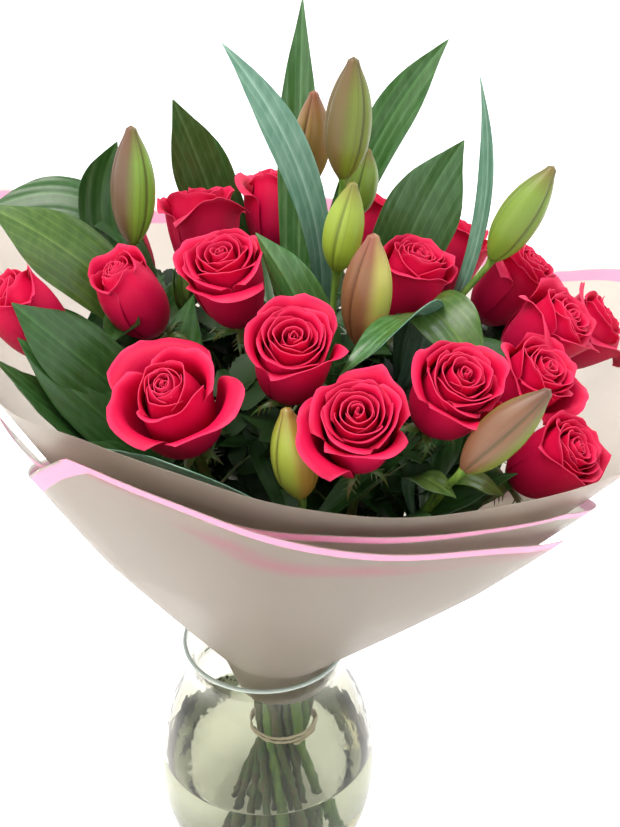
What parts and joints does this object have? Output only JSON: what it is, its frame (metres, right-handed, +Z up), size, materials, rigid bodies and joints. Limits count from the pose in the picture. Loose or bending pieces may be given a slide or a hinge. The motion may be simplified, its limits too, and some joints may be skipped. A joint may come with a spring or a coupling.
{
  "type": "lily and rose bouquet in a glass vase",
  "caption": "Hand-tied bouquet of crimson roses, closed lily buds and lily leaves in frosted film with pink borders, standing in a clear glass vase of water.",
  "frame": {"origin": "centre of the vase's flat foot, where it rests", "axes": "+Z up, -Y towards the viewer of the pictured front, +X to that viewer's right"},
  "size_m": [0.4571, 0.3917, 0.6362],
  "materials": {
    "clear_glass": "clear, polished, fire-finished lip",
    "water": "clear and still",
    "rose_petal": "velvety crimson-pink",
    "leaf_green": "waxy green",
    "lily_bud_green": "satin green with maroon seams",
    "twine": "rough natural fibre",
    "frosted_film": "translucent, frosted, pink borders"
  },
  "bodies": {
    "root": {"vase": "clear_glass", "water": "water", "rose_stem_01": "leaf_green", "rose_stem_02": "leaf_green", "rose_stem_03": "leaf_green", "rose_stem_04": "leaf_green", "rose_stem_05": "leaf_green", "rose_stem_06": "leaf_green", "rose_stem_07": "leaf_green", "rose_stem_08": "leaf_green", "rose_stem_09": "leaf_green", "rose_stem_10": "leaf_green", "rose_stem_11": "leaf_green", "rose_stem_12": "leaf_green", "rose_stem_13": "leaf_green", "rose_stem_14": "leaf_green", "rose_stem_15": "leaf_green", "rose_stem_16": "leaf_green", "rose_stem_17": "leaf_green", "rose_stem_18": "leaf_green", "rose_bloom_01": "rose_petal", "rose_bloom_02": "rose_petal", "rose_bloom_03": "rose_petal", "rose_bloom_04": "rose_petal", "rose_bloom_05": "rose_petal", "rose_bloom_06": "rose_petal", "rose_bloom_07": "rose_petal", "rose_bloom_08": "rose_petal", "rose_bloom_09": "rose_petal", "rose_bloom_10": "rose_petal", "rose_bloom_11": "rose_petal", "rose_bloom_12": "rose_petal", "rose_bloom_13": "rose_petal", "rose_bloom_14": "rose_petal", "rose_bloom_15": "rose_petal", "rose_bloom_16": "rose_petal", "rose_bloom_17": "rose_petal", "rose_bloom_18": "rose_petal", "lily_stem_01": "leaf_green", "lily_stem_02": "leaf_green", "lily_stem_03": "leaf_green", "lily_stem_04": "leaf_green", "lily_stem_05": "leaf_green", "lily_stem_06": "leaf_green", "lily_bud_01": "lily_bud_green", "lily_bud_02": "lily_bud_green", "lily_bud_03": "lily_bud_green", "lily_bud_04": "lily_bud_green", "lily_bud_05": "lily_bud_green", "lily_bud_06": "lily_bud_green", "lily_bud_07": "lily_bud_green", "lily_bud_08": "lily_bud_green", "lily_bud_09": "lily_bud_green", "twine": "twine", "film_main": "frosted_film", "film_middle": "frosted_film", "film_outer": "frosted_film"}
  },
  "joints": []
}
